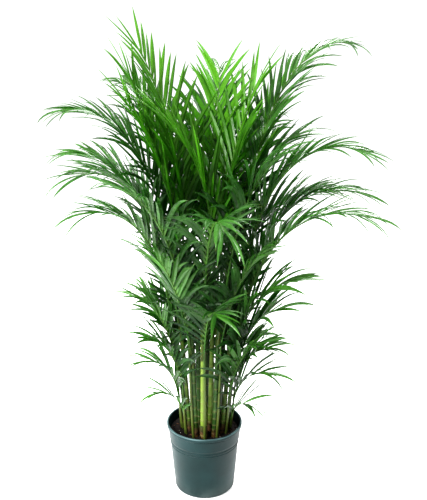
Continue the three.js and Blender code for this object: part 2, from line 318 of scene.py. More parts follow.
# %% Pot sizes
POT_SMOOTH = 32  # degrees: a sharper corner than this stays crisp
POT_HEIGHT = 230
RIM_RADIUS = 120
FOOT_RADIUS = 95.5
BAND_RADIUS = 116.5
BAND_STEP = 2.5  # how far the band stands out from the wall below it
STEP_HEIGHT = 177  # where the band starts
POT_WALL = 2
FOOT_ROUND = 9
FOOT_RING = 72.5  # inner radius of the ring that the pot stands on
CENTRE_FOOT = 30  # radius of the disc in the middle of the foot
CHANNEL = 5  # depth of the raised ring between them
LIP_DEPTH = 12
LIP_ROLL = 2.6
RIDGE = 0.9  # how far a ridge stands out
RIDGE_FOOT = 1.4  # half its height, at the wall
RIDGE_CREST = 0.6  # and where it stands out
RIDGE_HEIGHTS = (160, 169)
POT_SIDES = 128


def wall_radius(height):
    return mix(FOOT_RADIUS, BAND_RADIUS - BAND_STEP, height / POT_HEIGHT)


# %% Pot skin
def ridge_at(height):
    """A fine raised line round the wall."""
    wall = wall_radius(height)
    crest = wall + RIDGE
    return [
        (wall, height - RIDGE_FOOT), (crest, height - RIDGE_CREST),
        (crest, height + RIDGE_CREST), (wall, height + RIDGE_FOOT),
    ]


step_radius = wall_radius(STEP_HEIGHT) + BAND_STEP
pot_outside = [
    (CENTRE_FOOT, 0),
    (CENTRE_FOOT + 1.5, 0.6),
    (CENTRE_FOOT + CHANNEL, CHANNEL),
    (FOOT_RING - CHANNEL, CHANNEL),
    (FOOT_RING - 1.5, 0.6),
    (FOOT_RING, 0),
    *arc((FOOT_RADIUS - FOOT_ROUND + 0.4, FOOT_ROUND), FOOT_ROUND, -90, 0, 7),
    (wall_radius(60), 60),
    (wall_radius(120), 120),
    (wall_radius(150), 150),
    *ridge_at(RIDGE_HEIGHTS[0]),
    *ridge_at(RIDGE_HEIGHTS[1]),
    (wall_radius(STEP_HEIGHT) + 0.4, STEP_HEIGHT - 0.6),
    (step_radius - 0.6, STEP_HEIGHT + 0.8),
    (step_radius + 0.2, STEP_HEIGHT + 2.4),
    (step_radius + 0.5, STEP_HEIGHT + 5),
    (mix(step_radius, BAND_RADIUS, 0.5), 200),
    (BAND_RADIUS - 0.3, POT_HEIGHT - LIP_DEPTH - 3),
    (BAND_RADIUS - 1.4, POT_HEIGHT - LIP_DEPTH - 1.6),
    (BAND_RADIUS - 1.4, POT_HEIGHT - LIP_DEPTH),
    *arc((RIM_RADIUS - LIP_ROLL, POT_HEIGHT - LIP_DEPTH + LIP_ROLL), LIP_ROLL, -90, 0, 5),
    *arc((RIM_RADIUS - LIP_ROLL, POT_HEIGHT - LIP_ROLL), LIP_ROLL, 0, 90, 5),
]
inner_lip = BAND_RADIUS - POT_WALL
pot_inside = [
    *arc((inner_lip + 1.6, POT_HEIGHT - 1.6), 1.6, 90, 180, 4),
    (inner_lip - 0.6, 208),
    (step_radius - POT_WALL, STEP_HEIGHT + 2),
    (wall_radius(STEP_HEIGHT) - POT_WALL, STEP_HEIGHT - 2),
    (wall_radius(100) - POT_WALL, 100),
    *arc((FOOT_RADIUS - FOOT_ROUND, FOOT_ROUND + 1), FOOT_ROUND - POT_WALL, 0, -90, 5),
    (FOOT_RING, POT_WALL + 1),
    (FOOT_RING - CHANNEL, CHANNEL + POT_WALL),
    (CENTRE_FOOT + CHANNEL, CHANNEL + POT_WALL),
    (CENTRE_FOOT, POT_WALL),
]
pot = start_ring("nursery_pot_skin", POT_SIDES, CENTRE_FOOT * MM)
pull_along(pot_outside + pot_inside)
finish_edit(POT_SMOOTH)
print("pot skin:", len(pot.data.polygons), "faces, from", len(pot_outside + pot_inside), "rings")

# %% [markdown]
# Eight drain holes open through the raised channel in the foot. A ring of plain pegs is cut out of
# the skin at once, with a Boolean modifier that is applied.

# %% Drain holes
DRAIN_COUNT = 8
DRAIN_RADIUS = 7
PEG_LENGTH = 40
PEG_SIDES = 24

bpy.ops.object.select_all(action="DESELECT")
for i in range(DRAIN_COUNT):
    turn = i * math.tau / DRAIN_COUNT
    ring = (CENTRE_FOOT + FOOT_RING) / 2 * MM
    bpy.ops.mesh.primitive_cylinder_add(
        vertices=PEG_SIDES, radius=DRAIN_RADIUS * MM, depth=PEG_LENGTH * MM,
        location=(ring * math.cos(turn), ring * math.sin(turn), 0),
    )
    bpy.context.active_object.name = f"peg_{i}"
for i in range(DRAIN_COUNT):
    bpy.data.objects[f"peg_{i}"].select_set(True)
bpy.ops.object.join()
pegs = bpy.context.active_object
select_only(pot)
drill = pot.modifiers.new("drain", "BOOLEAN")
drill.object = pegs
drill.operation = "DIFFERENCE"
drill.solver = "EXACT"
bpy.ops.object.modifier_apply(modifier=drill.name)
bpy.data.objects.remove(pegs)
bpy.ops.object.shade_smooth_by_angle(angle=math.radians(POT_SMOOTH))
print("pot with drain holes:", len(pot.data.polygons), "faces")

# %% [markdown]
# The plastic is a dark slate green-grey with a satin gloss. Up close it is faintly orange-peeled,
# brushed by handling into fine lines round the wall, dusty towards the foot, and a little paler in
# patches along the top of the lip.

# %% Pot plastic
plastic = Finish("slate_plastic", {"Specular IOR Level": 0.18})
pot_place = plastic.place()
pot_height = plastic.part(pot_place, "Z")
cloudy = plastic.noise(pot_place, 9, 4)
peel = plastic.noise(pot_place, 420, 2)
handling = plastic.noise(pot_place, 3, 3, 0.6, (6, 6, 260))
specks = plastic.noise(pot_place, 900, 1)
dust = plastic.ramp(pot_height, 0.06, 0.0) * plastic.ramp(cloudy, 0.35, 0.7)
# Paler patches along the top of the lip.
pale_lip_top = plastic.ramp(pot_height, 0.2262, 0.2278) * plastic.ramp(handling, 0.35, 0.6)
SLATE_DARK = (0.004, 0.0165, 0.0165, 1)
SLATE = (0.0065, 0.026, 0.027, 1)
SLATE_DUST = (0.10, 0.12, 0.11, 1)
SLATE_PALE_LIP = (0.10, 0.165, 0.17, 1)
slate = plastic.blend(plastic.ramp(cloudy, 0.3, 0.7), SLATE_DARK, SLATE)
slate = plastic.blend(dust * 0.35 + plastic.ramp(specks, 0.68, 0.74) * 0.12, slate, SLATE_DUST)
slate = plastic.blend(pale_lip_top * 0.8, slate, SLATE_PALE_LIP)
plastic.colour(slate)
plastic.roughness(plastic.ramp(handling, 0.3, 0.7, 0.34, 0.46) + dust * 0.2)
plastic.relief(peel * 0.6 + handling * 0.4, 0.0003, 0.5)
dress(pot, [plastic], "pot", "nursery_pot")

# %% [markdown]
# ## The potting soil
# The soil is one lump that fills the pot to 25 mm below the rim. It could be a grid with a Displace
# modifier, but rings pulled up as for the pot fit the pot's wall, and smooth noise then roughens
# the top ones. Crumbs, bark chips and perlite lie on it: one small stone, modelled once and copied
# many times, turned and stretched by chance.

# %% Soil lump
SOIL_TOP = 205
SOIL_EDGE = 200
SOIL_GAP = 0.5
SOIL_FLOOR = CHANNEL + POT_WALL + 0.6
SOIL_SIDES = 96
SOIL_RINGS = 26
# The bumps of its top: how fine, how high in metres, and where in the noise they come from.
SOIL_BUMPS = [(38, 0.0035, 0), (150, 0.0018, 4), (420, 0.0009, 9)]
SOIL_CALM = 1.02  # the bumps die away towards this share of the soil's reach
SOIL_CALM_RATE = 8

soil_reach = wall_radius(STEP_HEIGHT) - POT_WALL - SOIL_GAP
soil_side = [
    (60, SOIL_FLOOR),
    (wall_radius(FOOT_ROUND) - POT_WALL - FOOT_ROUND, SOIL_FLOOR),
    (wall_radius(2 * FOOT_ROUND) - POT_WALL - SOIL_GAP, 2 * FOOT_ROUND),
    (soil_reach, STEP_HEIGHT),
    (soil_reach, SOIL_EDGE),
]
soil_top = [(soil_reach * (1 - i / SOIL_RINGS), SOIL_EDGE) for i in range(1, SOIL_RINGS)]
soil = start_ring("potting_soil_lump", SOIL_SIDES, soil_side[0][0] * MM, soil_side[0][1] * MM)
pull_along(soil_side + soil_top)
bpy.ops.mesh.edge_face_add()
bpy.ops.mesh.poke()
finish_edit(60)


def soil_height(x, y):
    """The height of the soil's surface in metres at a place in metres."""
    reach = math.hypot(x, y) / (soil_reach * MM)
    crown = mix(SOIL_TOP, SOIL_EDGE, min(1.0, reach) ** 2) * MM
    bumps = sum(
        noise.noise(Vector((x, y, layer)) * fineness) * height
        for fineness, height, layer in SOIL_BUMPS
    )
    return crown + bumps * min(1.0, (SOIL_CALM - reach) * SOIL_CALM_RATE)


for vertex in soil.data.vertices:
    if vertex.co.z > (SOIL_EDGE - 0.5) * MM:
        vertex.co.z = soil_height(vertex.co.x, vertex.co.y)
print("soil lump:", len(soil.data.polygons), "faces")

# %% Crumbs, chips and perlite
STONE_TILT = 0.6  # radians that a stone may lean, either way
STONE_NARROW = 0.6  # the share of its width that it may shrink to


def stone(name, roughen):
    """A small closed clod with a few dozen faces, about 1 m across, to be scaled down."""
    bpy.ops.object.select_all(action="DESELECT")
    bpy.ops.mesh.primitive_ico_sphere_add(subdivisions=1, radius=0.5)
    piece = bpy.context.active_object
    piece.name = name
    bpy.ops.object.mode_set(mode="EDIT")
    bpy.ops.mesh.select_all(action="SELECT")
    bpy.ops.transform.vertex_random(offset=roughen, seed=3)
    bpy.ops.object.mode_set(mode="OBJECT")
    return piece


def shape_of(piece):
    """A modelled shape as corner places and faces, ready to be copied."""
    corners = np.array([v.co for v in piece.data.vertices], float)
    faces = [tuple(f.vertices) for f in piece.data.polygons]
    bpy.data.objects.remove(piece)
    return corners, faces


def mesh_piece(name, corners, faces, smooth_angle=None):
    """A new object from places and faces, left selected and active."""
    data = bpy.data.meshes.new(name)
    data.from_pydata([tuple(c) for c in corners], [], faces)
    piece = bpy.data.objects.new(name, data)
    bpy.context.scene.collection.objects.link(piece)
    select_only(piece)
    if smooth_angle:
        bpy.ops.object.shade_smooth_by_angle(angle=math.radians(smooth_angle))
    return piece


def scatter(name, shape, count, sizes, stretch, sink, reach):
    """Many copies of one stone on the soil, each turned and stretched by chance."""
    corners, faces = shape
    all_corners, all_faces = [], []
    for i in range(count):
        away = soil_reach * MM * reach * math.sqrt(chance.random())
        turn = chance.uniform(0, math.tau)
        x, y = away * math.cos(turn), away * math.sin(turn)
        size = chance.uniform(*sizes) * MM
        spin = Matrix.Rotation(chance.uniform(0, math.tau), 3, "Z")
        spin = spin @ Matrix.Rotation(chance.uniform(-STONE_TILT, STONE_TILT), 3, "X")
        spin = spin @ Matrix.Rotation(chance.uniform(-STONE_TILT, STONE_TILT), 3, "Y")
        narrow = np.array([1, chance.uniform(STONE_NARROW, 1), 1])
        scaled = corners * np.array(stretch) * size * narrow
        placed = scaled @ np.array(spin).T
        placed += np.array([x, y, soil_height(x, y) + size * sink])
        base = len(all_corners) * len(corners)
        all_corners.append(placed)
        all_faces.extend(tuple(base + k for k in face) for face in faces)
    piece = mesh_piece(name, np.concatenate(all_corners), all_faces, 50)
    print(name, count, "copies")
    return piece


# Each row after the shape: how many, size in mm, stretch, how high it lies, share of the soil.
clod = shape_of(stone("clod", 0.12))
crumbs = scatter("soil_crumbs", clod, 620, (2.0, 6.5), (1, 0.85, 0.7), 0.1, 0.97)
chips = scatter("bark_chips", clod, 90, (7, 15), (1, 0.42, 0.22), 0.08, 0.95)
perlite = scatter("perlite_grains", clod, 16, (1.6, 2.8), (1, 0.9, 0.8), 0.2, 0.96)

# %% [markdown]
# Damp potting soil is nearly black-brown, with redder fibres and paler dry patches. Nothing on it
# shines. Bark and perlite are as dull, so one recipe makes all three.


# %% Soil finishes
def earth(name, dark, light, fibre, scale):
    finish = Finish(name, {"Specular IOR Level": 0.2})
    place = finish.place()
    patch = finish.noise(place, scale, 6, 0.65)
    thread = finish.noise(place, scale * 3, 3, 0.7, (1, 4, 1))
    tint = finish.blend(finish.ramp(patch, 0.35, 0.68), dark, light)
    tint = finish.blend(finish.ramp(thread, 0.6, 0.72) * 0.7, tint, fibre)
    finish.colour(tint)
    finish.roughness(finish.ramp(patch, 0.3, 0.7, 0.8, 0.98))
    finish.relief(patch + thread * 0.5, 0.0015, 0.8)
    return finish


peat = earth(
    "damp_peat", scale=160, dark=(0.004, 0.003, 0.0025, 1), light=(0.014, 0.009, 0.0065, 1),
    fibre=(0.045, 0.020, 0.011, 1),
)
bark = earth(
    "bark", scale=90, dark=(0.05, 0.022, 0.010, 1), light=(0.16, 0.075, 0.035, 1),
    fibre=(0.24, 0.13, 0.07, 1),
)
white_grit = earth(
    "perlite", scale=500, dark=(0.42, 0.40, 0.36, 1), light=(0.75, 0.73, 0.68, 1),
    fibre=(0.5, 0.45, 0.38, 1),
)
dress(soil, [peat], "soil", "potting_soil")
dress(crumbs, [peat], "soil")
dress(chips, [bark], "soil")
dress(perlite, [white_grit], "soil")

# %% [markdown]
# ## The canes
# Each cane is a slim ringed stem like thin bamboo. It leans out from the middle of the clump, and
# tapers to half its thickness. Every ring is the scar of a fallen frond: a fine raised edge over a
# shallow groove, close together near the soil and further apart above. The top is wrapped in the
# green sheaths of the fronds it still carries, and ends in the spear, the next frond, unopened.
# A bevelled curve would give a plain rod. A ring pulled up through a list of radii has the scars.

# %% Where the canes stand: x, y, height, radius at the foot
CANES = [
    (-46, -26, 440, 8.5),
    (-26, -50, 470, 9),
    (-2, -58, 500, 10.5),
    (30, -50, 480, 9),
    (57, -26, 450, 8.5),
    (72, 8, 360, 7.5),
    (-60, 6, 390, 7.5),
    (-34, 10, 520, 9),
    (-14, -18, 540, 10),
    (18, -14, 560, 10),
    (42, 18, 500, 9),
    (4, 22, 530, 9.5),
    (-28, 46, 470, 9),
    (8, 58, 480, 9),
    (42, 52, 440, 8),
    (-52, 38, 380, 8),
]
# How yellow each cane is, from 0, deep green, to 1, bright yellow.
CANE_TONES = [0.3, 0.12, 0.66, 0.08, 0.3, 0.1, 0.1, 0, 0.1, 0.45, 0, 0.1, 0, 0, 0, 0.05]
CANE_SPLAY = 0.07  # degrees of lean for each mm from the middle
TOP_SHARE = 0.5
ROOT_DEPTH = 40
SPEAR_LENGTH = 210
SPEAR_RADIUS = 1.4
CANE_SIDES = 14
SCARS_REACH = 0.72  # the share of a cane's height that has bare scars
SHEATH_FOOT = 0.76  # the share at which its green sheaths start
FIRST_SCAR = (6, 14)  # mm above the soil
FIRST_GAP = (15, 22)  # mm to the next
GAP_GROWTH = 1.22
GAP_CHANGE = (0.85, 1.15)
WIDEST_GAP = 62
# A scar's outline: a share of the cane's radius, and mm above the scar.
SCAR_OUTLINE = [(0.985, -4), (1.02, -1.2), (1.09, 0), (1.0, 0.9), (0.965, 2.4), (0.985, 6)]
SCAR_REACH = 3  # mm from a scar over which its colour fades
SHEATH_SHARES = (0.0, 0.03, 0.3, 0.65, 1.0)
SPEAR_SHARES = (0.12, 0.3, 0.5, 0.7, 0.86, 0.96)


def cane_axis(cane):
    """A cane's foot at the level of the soil, in mm, and its direction."""
    x, y = cane[:2]
    away = np.array([x, y, 0.0])
    reach = np.linalg.norm(away)
    lean = math.radians(CANE_SPLAY * reach)
    return np.array([x, y, SOIL_TOP], float), away / reach * math.sin(lean) + UP * math.cos(lean)


def cane_radius(cane, height):
    return mix(cane[3], cane[3] * TOP_SHARE, height / cane[2])


# %% One cane
def ring_heights(top):
    """Heights of the leaf scars, each further from the last than the one before."""
    heights = []
    height = chance.uniform(*FIRST_SCAR)
    gap = chance.uniform(*FIRST_GAP)
    while height < top:
        heights.append(height)
        height += gap * chance.uniform(*GAP_CHANGE)
        gap = min(WIDEST_GAP, gap * GAP_GROWTH)
    return heights


def cane_profile(cane):
    """(radius, height) pairs up a cane, with the heights of its scars."""
    height = cane[2]
    scars = ring_heights(height * SCARS_REACH)
    pairs = [(cane[3] * 0.9, -ROOT_DEPTH), (cane[3], 0)]
    for scar in scars:
        radius = cane_radius(cane, scar)
        pairs += [(radius * share, scar + above) for share, above in SCAR_OUTLINE]
    sheath = height * SHEATH_FOOT
    for share in SHEATH_SHARES:
        swell = 1.0 if share == 0 else 1.12 - 0.1 * share
        level = mix(sheath, height, share)
        pairs.append((cane_radius(cane, level) * swell, level))
    top = cane_radius(cane, height)
    for share in SPEAR_SHARES:
        radius = mix(top * 0.92, SPEAR_RADIUS * 0.7, share**0.8)
        pairs.append((radius, height + SPEAR_LENGTH * share))
    pairs.sort(key=lambda pair: pair[1])
    return pairs, scars


def set_attribute(piece, name, values):
    layer = piece.data.attributes.new(name, "FLOAT", "POINT")
    layer.data.foreach_set("value", np.asarray(values, np.float32))


def stand(piece, cane):
    """Moves a piece modelled upright at the origin to a cane's place and lean."""
    foot, direction = cane_axis(cane)
    turn = Vector(UP).rotation_difference(Vector(direction)).to_matrix().to_4x4()
    piece.data.transform(Matrix.Translation(Vector(foot * MM)) @ turn)


def model_cane(number, cane):
    """One cane with its scars and spear, pulled up straight and then leant over."""
    pairs, scars = cane_profile(cane)
    first_radius, first_height = pairs[0]
    name = f"cane_{number:02d}_stem"
    piece = start_ring(name, CANE_SIDES, first_radius * MM, first_height * MM)
    pull_along(pairs)
    pull(SPEAR_LENGTH * 0.04 * MM, 1)
    bpy.ops.mesh.merge(type="CENTER")
    finish_edit(40)
    heights = np.array([v.co.z for v in piece.data.vertices]) / MM
    nearest = np.min(np.abs(heights[:, None] - np.array(scars)[None, :]), axis=1)
    set_attribute(piece, "height", np.clip(heights / cane[2], 0, 1.5))
    set_attribute(piece, "scar", np.clip(1 - nearest / SCAR_REACH, 0, 1))
    set_attribute(piece, "tone", np.full(len(heights), CANE_TONES[number - 1]))
    stand(piece, cane)
    return piece


canes = [model_cane(i + 1, cane) for i, cane in enumerate(CANES)]
print("canes:", len(canes), "with", sum(len(c.data.polygons) for c in canes), "faces")

# %% [markdown]
# A cane is smooth and waxy. Old wood near the soil turns dull yellow and orange-brown, the middle
# is yellow-green to bright yellow, the sheathed top is green with a pale bloom. Fine fibres run up
# it, and the scars are pale brown.

# %% Cane finish
stem = Finish("cane_skin", {"Specular IOR Level": 0.3})
stem_place = stem.place()
height_share = stem.attribute("height")
scar = stem.attribute("scar")
tone = stem.attribute("tone")
fibres = stem.noise(stem_place, 900, 3, 0.6, (1, 1, 0.05))
blotches = stem.noise(stem_place, 38, 4, 0.6)
STEM_GREEN = (0.015, 0.050, 0.006, 1)
STEM_YELLOW = (0.17, 0.25, 0.032, 1)
STEM_SHEATH = (0.028, 0.095, 0.013, 1)
STEM_BROWN = (0.10, 0.040, 0.013, 1)
STEM_BLOOM = (0.13, 0.22, 0.07, 1)
STEM_SCAR = (0.16, 0.12, 0.05, 1)
STEM_FIBRE = (0.07, 0.10, 0.02, 1)
skin = stem.blend(stem.ramp(tone + blotches * 0.3 - 0.15, 0.0, 1.0), STEM_GREEN, STEM_YELLOW)
skin = stem.blend(stem.ramp(height_share, 0.72, 0.8), skin, STEM_SHEATH)
skin = stem.blend(stem.ramp(height_share + blotches * 0.14, 0.16, 0.07) * 0.8, skin, STEM_BROWN)
skin = stem.blend(stem.ramp(blotches, 0.55, 0.75) * 0.25, skin, STEM_BLOOM)
skin = stem.blend(scar * 0.5, skin, STEM_SCAR)
skin = stem.blend(stem.ramp(fibres, 0.5, 0.75) * 0.2, skin, STEM_FIBRE)
stem.colour(skin)
stem.roughness(stem.ramp(blotches, 0.3, 0.7, 0.32, 0.5) + scar * 0.2)
stem.relief(fibres, 0.0005, 0.5)
for i, piece in enumerate(canes):
    dress(piece, [stem], "cane", f"cane_{i + 1:02d}")

# %% [markdown]
# Old sheaths stay round the canes' feet as dry, torn, papery husks. They could be draped as cloth,
# but at this size only a ragged tube shows. One is modelled as a ring of wall pulled up and a
# little out. One side is cut away, its top is roughened, and a Solidify modifier makes it thick.
# Copies are wrapped round the canes, turned by chance.

# %% The husk, modelled once
HUSK_SIDES = 20
HUSK_RADIUS = 1.12  # of the cane's radius
HUSK_THICKNESS = 0.05  # of the cane's radius
HUSK_SPREADS = (0.99, 1.0, 1.01, 1.0, 1.03, 1.05)  # of each ring, as a share of the one below
HUSK_RAGGED = 0.8  # the share of its height above which it is torn
HUSK_TEAR = 0.12
HUSKS = 2  # on each cane
HUSK_STEP = 12  # mm from one husk to the next
HUSK_SHIFT = (-8, 6)  # mm up or down from there
HUSK_HEIGHTS = (16, 40)  # mm

husk = start_ring("husk", HUSK_SIDES, HUSK_RADIUS, closed=False)
for spread in HUSK_SPREADS:
    pull(1 / len(HUSK_SPREADS), spread)
bpy.ops.mesh.select_all(action="DESELECT")
bpy.ops.object.mode_set(mode="OBJECT")
for face in husk.data.polygons:
    face.select = face.center.x < -0.3 - 0.5 * face.center.z * math.sin(face.center.y * 3)
for edge in husk.data.edges:
    edge.select = False
bpy.ops.object.mode_set(mode="EDIT")
bpy.ops.mesh.select_mode(type="FACE")
bpy.ops.mesh.delete(type="FACE")
bpy.ops.mesh.select_mode(type="VERT")
bpy.ops.object.mode_set(mode="OBJECT")
for vertex in husk.data.vertices:
    vertex.select = vertex.co.z > HUSK_RAGGED
bpy.ops.object.mode_set(mode="EDIT")
bpy.ops.transform.vertex_random(offset=HUSK_TEAR, seed=5)
bpy.ops.object.mode_set(mode="OBJECT")
thicken = husk.modifiers.new("thickness", "SOLIDIFY")
thicken.thickness = HUSK_THICKNESS
bpy.ops.object.modifier_apply(modifier=thicken.name)
husk_corners, husk_faces = shape_of(husk)
print("husk:", len(husk_corners), "corners,", len(husk_faces), "faces")


# %% Husks on the canes
def wrap_husks(canes):
    """Copies of the husk round the foot of each cane, at heights and turns of their own."""
    places, faces = [], []
    for cane in canes:
        foot, direction = cane_axis(cane)
        lean = Vector(UP).rotation_difference(Vector(direction)).to_matrix()
        for i in range(HUSKS):
            level = i * HUSK_STEP + chance.uniform(*HUSK_SHIFT)
            tall = chance.uniform(*HUSK_HEIGHTS)
            radius = cane_radius(cane, level)
            spin = Matrix.Rotation(chance.uniform(0, math.tau), 3, "Z")
            sized = husk_corners * np.array([radius, radius, tall]) + np.array([0, 0, level])
            placed = sized @ np.array(spin).T @ np.array(lean).T + foot
            base = len(places) * len(husk_corners)
            places.append(placed * MM)
            faces.extend(tuple(base + k for k in face) for face in husk_faces)
    return mesh_piece("dry_sheaths", np.concatenate(places), faces, 35)


husks = wrap_husks(CANES)
print("husks:", len(husks.data.polygons), "faces")

# %% [markdown]
# Dry sheath is brown and fibrous, like old paper, with a little green left towards its top.

# %% Husk finish
papery = Finish("papery_sheath", {"Specular IOR Level": 0.2})
papery_place = papery.place()
papery_streaks = papery.noise(papery_place, 700, 3, 0.6, (1, 1, 0.08))
papery_patches = papery.noise(papery_place, 55, 3, 0.6)
HUSK_DARK = (0.016, 0.010, 0.005, 1)
HUSK_PALE = (0.12, 0.058, 0.022, 1)
HUSK_GREEN = (0.030, 0.055, 0.010, 1)
papery_tint = papery.blend(papery.ramp(papery_patches, 0.35, 0.65), HUSK_DARK, HUSK_PALE)
papery_tint = papery.blend(papery.ramp(papery_streaks, 0.4, 0.7) * 0.5, papery_tint, HUSK_DARK)
papery_high = papery.ramp(papery.part(papery_place, "Z"), 0.215, 0.26)
papery.colour(papery.blend(papery_high, papery_tint, HUSK_GREEN))
papery.roughness(papery.ramp(papery_patches, 0.3, 0.7, 0.7, 0.9))
papery.relief(papery_streaks, 0.0006, 0.7)
dress(husks, [papery], "cane")

# %% [markdown]
# ## The fronds
# A frond is one long rib with a row of folded leaflets down each side. All fronds are alike but
# for their curve and size, so two shapes are modelled once: a straight rib and a straight leaflet.
# Each frond is then grown from bent copies of them: the rib follows its own curve out of its cane,
# and each leaflet leaves it at its own angle, twists and sags. Curves as varied as these are
# worked out with numbers, because no modifier bends a thousand leaflets each in its own way.

# %% The three ages of frond
# parting: degrees between rib and cane. bare: share of the rib without leaflets. pitch: mm between
# pairs. spread and rise: degrees from the rib's line and above its sides, first and last pair.
# sag: degrees that a leaflet bends down. width: mm across a leaflet 240 mm long. twist: degrees
# that its tip may be turned, either way. slim: the rib's thickness, as a share of the full one.
KINDS = {
    "crown": dict(
        parting=3, bare=0.28, pitch=25, spread=(46, 20), rise=(30, 10), sag=11, width=15, twist=30,
        slim=1.0,
    ),
    "arching": dict(
        parting=5, bare=0.24, pitch=20, spread=(38, 16), rise=(30, 8), sag=32, width=13.5, twist=38,
        slim=1.0,
    ),
    "low": dict(
        parting=9, bare=0.09, pitch=16, spread=(48, 18), rise=(28, 6), sag=30, width=15.5, twist=62,
        slim=0.62,
    ),
}
PETIOLE_RADIUS = 4.2
RIB_TIP_RADIUS = 1.1
CANE_CLEARANCE = 0.8

# %% [markdown]
# Each frond has a row: its cane, height on that cane, heading, lean of its tip, curl, length and
# longest leaflet. The CAD model has the same rows, but it turns fronds 18, 25 and 29 about their
# foot so that no solids overlap. Here they keep the heading of their row.

# %% The fronds
FROND_ROWS = {
    "crown": [
        (9, 450, 152, 30, 1.7, 755, 250), (10, 450, 24, 26, 2.0, 650, 260),
        (8, 440, 166, 25, 1.5, 690, 240), (4, 420, 168, 54, 2.3, 650, 250),
        (11, 430, 34, 40, 2.0, 640, 240), (12, 450, 64, 13, 1.6, 650, 250),
        (2, 410, 166, 36, 1.9, 660, 240),
    ],
    "arching": [
        (1, 400, 160, 112, 3.2, 780, 220), (7, 370, 206, 106, 3.2, 620, 230),
        (7, 270, 222, 88, 2.5, 620, 240), (2, 330, 226, 62, 2.2, 600, 240),
        (3, 360, 282, 118, 3.0, 560, 210), (4, 400, 318, 46, 2.4, 560, 240),
        (6, 260, 322, 98, 1.8, 740, 220), (6, 320, 345, 106, 2.6, 650, 220),
        (5, 350, 336, 110, 3.2, 770, 210), (5, 410, 36, 110, 3.2, 990, 200),
        (11, 400, 14, 66, 3.0, 600, 230), (15, 370, 66, 96, 2.2, 760, 230),
        (14, 410, 84, 70, 2.2, 800, 240), (14, 320, 100, 114, 2.0, 640, 220),
        (13, 400, 124, 88, 2.4, 820, 230), (16, 330, 152, 104, 2.2, 720, 230),
        (15, 300, 20, 108, 2.2, 620, 220),
    ],
    "low": [
        (7, 230, 205, 52, 2.0, 250, 190), (1, 160, 212, 60, 2.0, 220, 180),
        (7, 110, 196, 76, 2.0, 170, 160), (1, 60, 200, 88, 1.5, 140, 130),
        (2, 330, 224, 36, 1.8, 330, 200), (3, 300, 286, 100, 2.4, 250, 190),
        (4, 320, 322, 40, 1.8, 340, 200), (5, 240, 356, 82, 2.4, 350, 230),
        (6, 200, 335, 64, 2.0, 270, 220), (5, 130, 322, 56, 2.2, 230, 190),
        (6, 130, 342, 72, 2.0, 200, 180), (6, 80, 330, 88, 1.6, 200, 170),
        (6, 30, 318, 100, 1.4, 130, 140), (15, 220, 50, 56, 2.0, 330, 200),
        (16, 170, 140, 74, 2.0, 300, 180), (14, 170, 96, 50, 2.0, 300, 190),
        (13, 210, 116, 62, 2.0, 350, 190), (15, 100, 30, 84, 1.8, 220, 160),
    ],
}
FRONDS = [(kind, *row) for kind, rows in FROND_ROWS.items() for row in rows]

# %% [markdown]
# The leaflet starts as a flat lozenge on edge. It is pulled forward eight times, wider and then
# narrower, and drawn to a point. Last, its middle line is pressed down, which folds the blade.

# %% The leaflet, modelled once
LEAFLET_WIDTHS = [0.34, 0.78, 0.97, 1.0, 0.95, 0.84, 0.66, 0.40]  # at each eighth of its length
LEAFLET_THICKNESS = 0.03  # of its width
LEAFLET_FOLD = 0.19  # how far the middle lies below the edges, of its width

bpy.ops.object.select_all(action="DESELECT")
bpy.ops.mesh.primitive_circle_add(
    vertices=4, radius=0.5, fill_type="NGON", rotation=(0, math.pi / 2, 0)
)
blade = bpy.context.active_object
bpy.ops.object.transform_apply(location=True, rotation=True, scale=True)
bpy.ops.object.mode_set(mode="EDIT")
bpy.ops.mesh.select_all(action="SELECT")
first_width = LEAFLET_WIDTHS[0]
bpy.ops.transform.resize(
    value=(1, first_width, LEAFLET_THICKNESS * first_width), center_override=(0, 0, 0)
)
LEAFLET_STEPS = len(LEAFLET_WIDTHS)
segment = 1 / LEAFLET_STEPS
for width, next_width in zip(LEAFLET_WIDTHS, LEAFLET_WIDTHS[1:]):
    bpy.ops.mesh.extrude_region_move(TRANSFORM_OT_translate={"value": (segment, 0, 0)})
    share = next_width / width
    bpy.ops.transform.resize(value=(1, share, share), center_override=(0, 0, 0))
bpy.ops.mesh.extrude_region_move(TRANSFORM_OT_translate={"value": (segment, 0, 0)})
bpy.ops.mesh.merge(type="CENTER")
finish_edit()
for vertex in blade.data.vertices:
    station = min(round(vertex.co.x * LEAFLET_STEPS), LEAFLET_STEPS - 1)
    if abs(vertex.co.y) < 1e-5 and vertex.co.x < 0.99:
        vertex.co.z -= LEAFLET_FOLD * LEAFLET_WIDTHS[station]
leaflet_corners, leaflet_faces = shape_of(blade)
leaflet_ring = np.rint(leaflet_corners[:, 0] * LEAFLET_STEPS).astype(int)
print("leaflet:", len(leaflet_corners), "corners,", len(leaflet_faces), "faces")

# %% [markdown]
# The rib is a round rod pulled along the same way, with its top pressed flat into a shallow
# gutter. Its first stations are the sheath, which clasps the cane below the point where the rib
# leaves it. On a low frond, which is a side shoot, they are a slim stem down into the soil.

# %% The rib, modelled once
RIB_SIDES = 8
RIB_STEPS = 50
SHEATH_STEPS = 8
rib_rings = RIB_STEPS + SHEATH_STEPS

rod = start_ring("rib", RIB_SIDES, 1.0)
for _ in range(rib_rings):
    pull(1.0, 1)
finish_edit()
for vertex in rod.data.vertices:
    if vertex.co.y > 0.9:
        vertex.co.y = 0.42
    elif vertex.co.y > 0.6:
        vertex.co.y = 0.62
rib_corners, rib_faces = shape_of(rod)
rib_ring = np.rint(rib_corners[:, 2]).astype(int)
print("rib:", len(rib_corners), "corners,", len(rib_faces), "faces")


# %% The rib's curve
def unit(vectors):
    return vectors / np.linalg.norm(vectors, axis=-1, keepdims=True)


